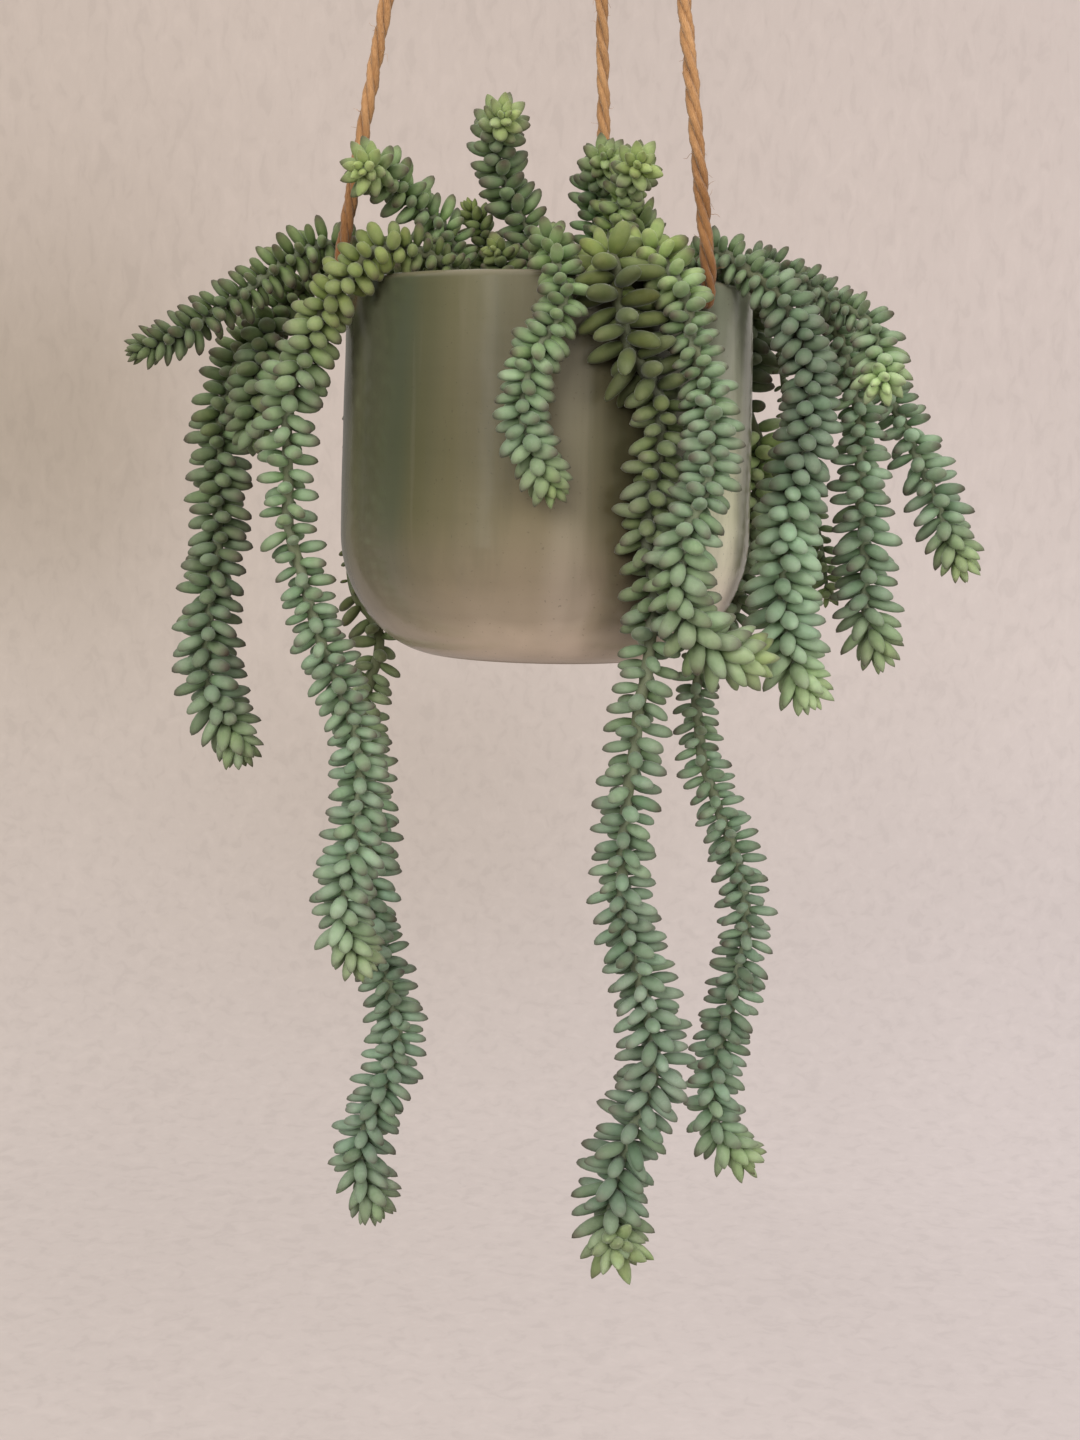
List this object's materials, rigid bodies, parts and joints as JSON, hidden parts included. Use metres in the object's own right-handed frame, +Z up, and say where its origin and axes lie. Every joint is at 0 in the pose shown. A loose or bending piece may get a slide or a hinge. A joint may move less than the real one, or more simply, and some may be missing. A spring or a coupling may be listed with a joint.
{
  "type": "potted burros tail plant",
  "caption": "Trailing burros tail succulent in a glazed hanging pot, carried by three jute ropes that meet in a gathering knot and a hanging loop.",
  "frame": {"origin": "the point inside the top of the hanging loop where a hook bears", "axes": "+Z up along the pot's axis, -Y the front that the picture shows, +X to the right seen from the front"},
  "size_m": [0.3071, 0.1952, 0.7409],
  "materials": {
    "glaze": "gloss",
    "potting_mix": "matte",
    "jute": "matte",
    "leaf_glaucous": "matte",
    "leaf_young": "satin"
  },
  "bodies": {
    "root": {"gathering_knot": "jute", "hanging_loop": "jute", "knot_back": "jute", "knot_left": "jute", "knot_right": "jute", "pot": "glaze", "rope_back": "jute", "rope_left": "jute", "rope_right": "jute", "shoot_back_left": "leaf_glaucous", "shoot_back_right": "leaf_glaucous", "shoot_centre": "leaf_glaucous", "shoot_left": "leaf_glaucous", "shoot_right": "leaf_glaucous", "shoot_right_twin": "leaf_glaucous", "shoot_side_right": "leaf_glaucous", "shoot_small_front": "leaf_young", "shoot_small_left": "leaf_young", "soil": "potting_mix", "stem_back_1": "leaf_glaucous", "stem_back_2": "leaf_glaucous", "stem_back_3": "leaf_glaucous", "stem_back_4": "leaf_glaucous", "stem_back_5": "leaf_glaucous", "stem_back_6": "leaf_glaucous", "stem_front_centre": "leaf_glaucous", "stem_front_long": "leaf_glaucous", "stem_front_right": "leaf_glaucous", "stem_left_arching": "leaf_glaucous", "stem_left_back": "leaf_glaucous", "stem_left_inner": "leaf_young", "stem_left_outer": "leaf_glaucous", "stem_right_1": "leaf_glaucous", "stem_right_2": "leaf_glaucous", "stem_right_3": "leaf_young", "stem_right_4": "leaf_glaucous", "stem_right_back": "leaf_glaucous", "stem_right_small": "leaf_glaucous"}
  },
  "joints": []
}
